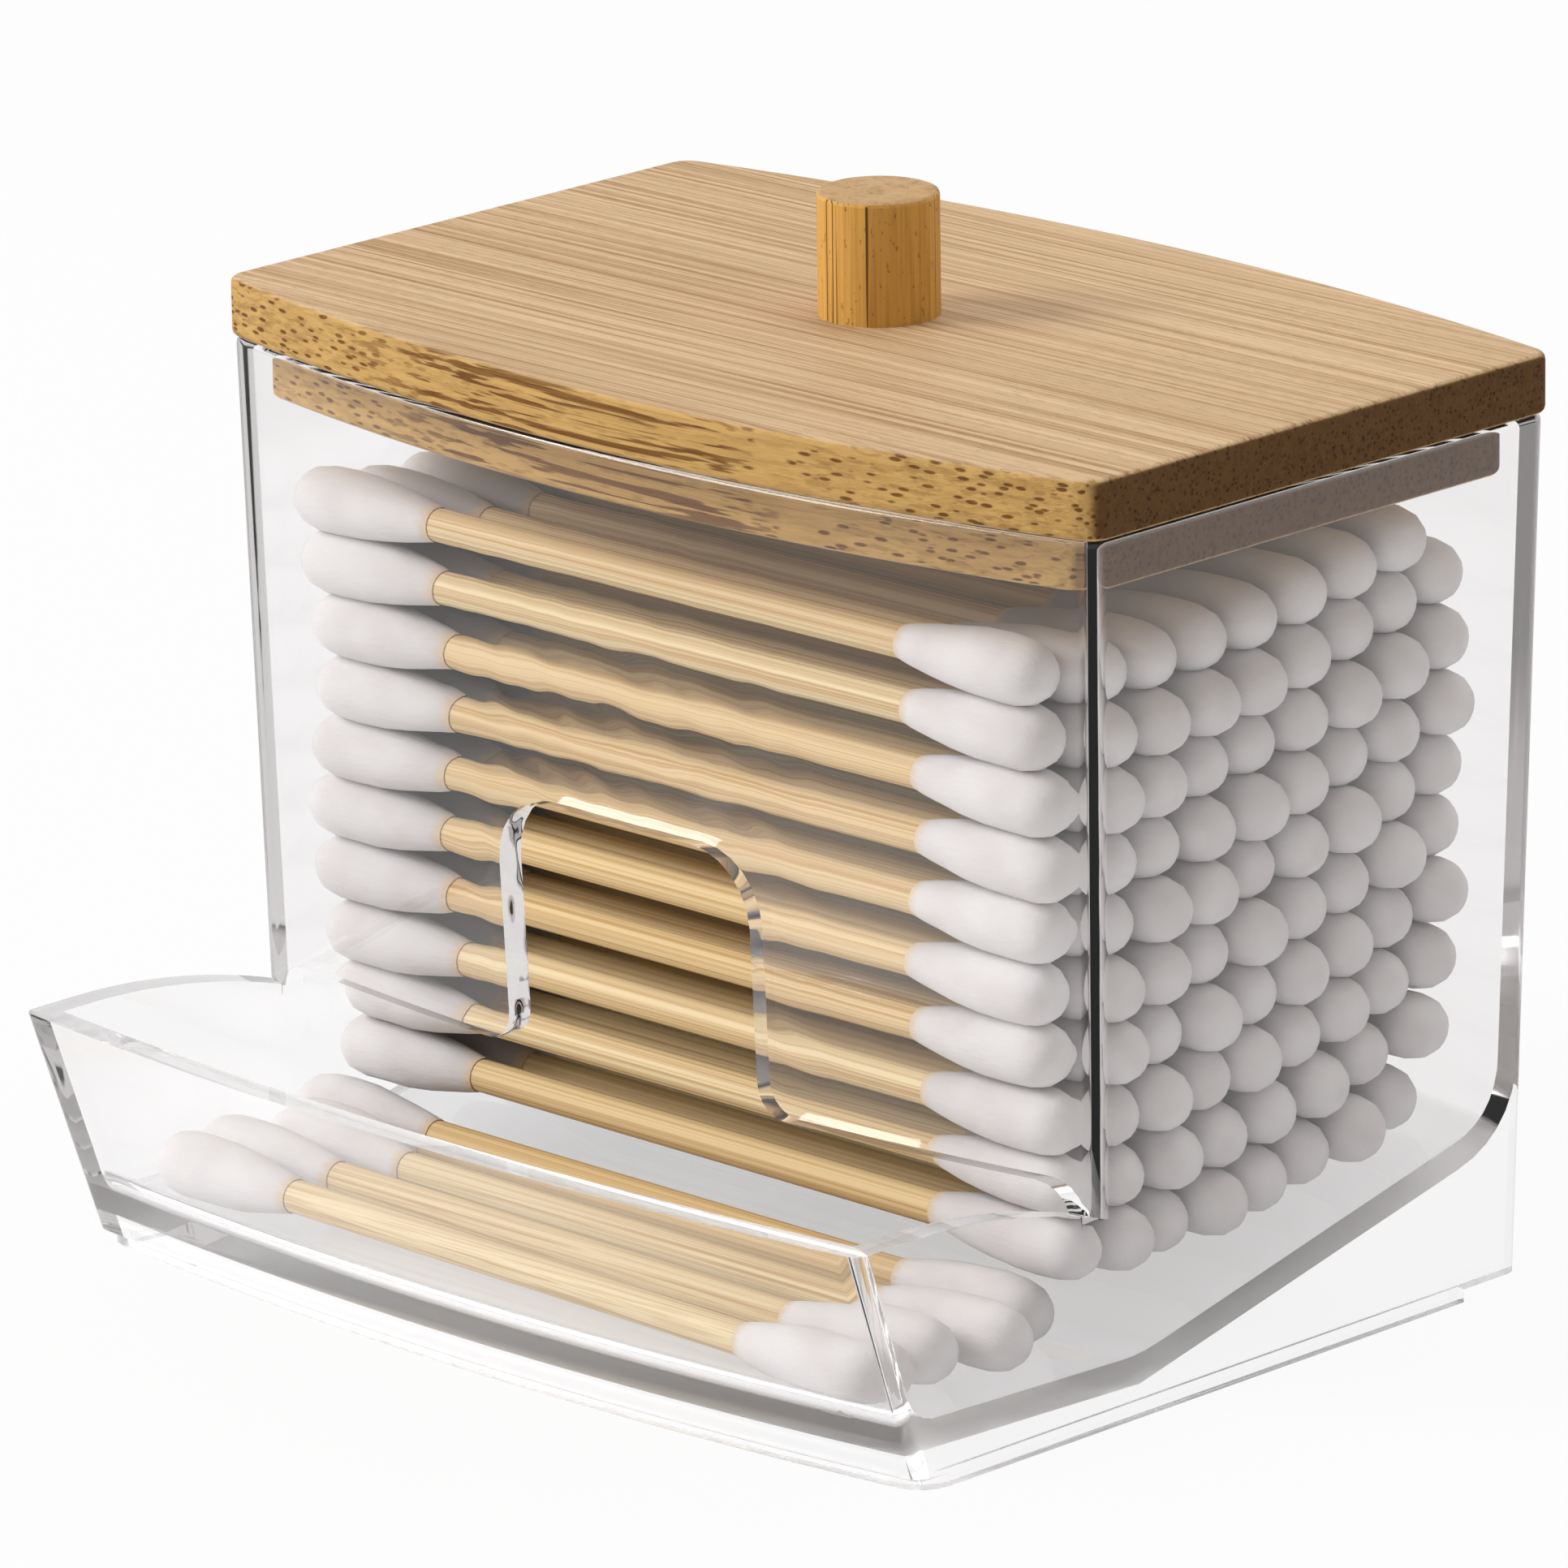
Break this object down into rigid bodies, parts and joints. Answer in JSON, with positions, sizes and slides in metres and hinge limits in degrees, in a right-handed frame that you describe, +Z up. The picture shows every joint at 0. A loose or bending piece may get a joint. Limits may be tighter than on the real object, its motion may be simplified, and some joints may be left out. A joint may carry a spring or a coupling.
{
  "type": "cotton swab holder",
  "caption": "Clear hopper with an open front tray and a finger notch, filled with cotton swabs, under a bamboo lid with a round knob.",
  "frame": {"origin": "middle of the object's bounding box at the table, under the hopper", "axes": "+X along the front to the right, +Y towards the back wall, +Z up"},
  "size_m": [0.088, 0.079, 0.0797],
  "materials": {
    "clear_plastic": "clear, polished",
    "bamboo_board": "sanded bamboo, satin",
    "bamboo_knob": "sanded bamboo, satin",
    "bamboo_stick": "plain bamboo",
    "cotton": "wound cotton"
  },
  "bodies": {
    "holder": {"container": "clear_plastic", "pile_sticks": "bamboo_stick", "pile_buds_left": "cotton", "pile_buds_right": "cotton", "tray_sticks": "bamboo_stick", "tray_buds_left": "cotton", "tray_buds_right": "cotton"},
    "lid": {"lid_board": "bamboo_board", "knob": "bamboo_knob"}
  },
  "joints": [
    {"name": "lid_lift", "type": "slide", "parent": "holder", "child": "lid", "axis": [0, 0, 1], "range_m": [0, 0.04]}
  ]
}
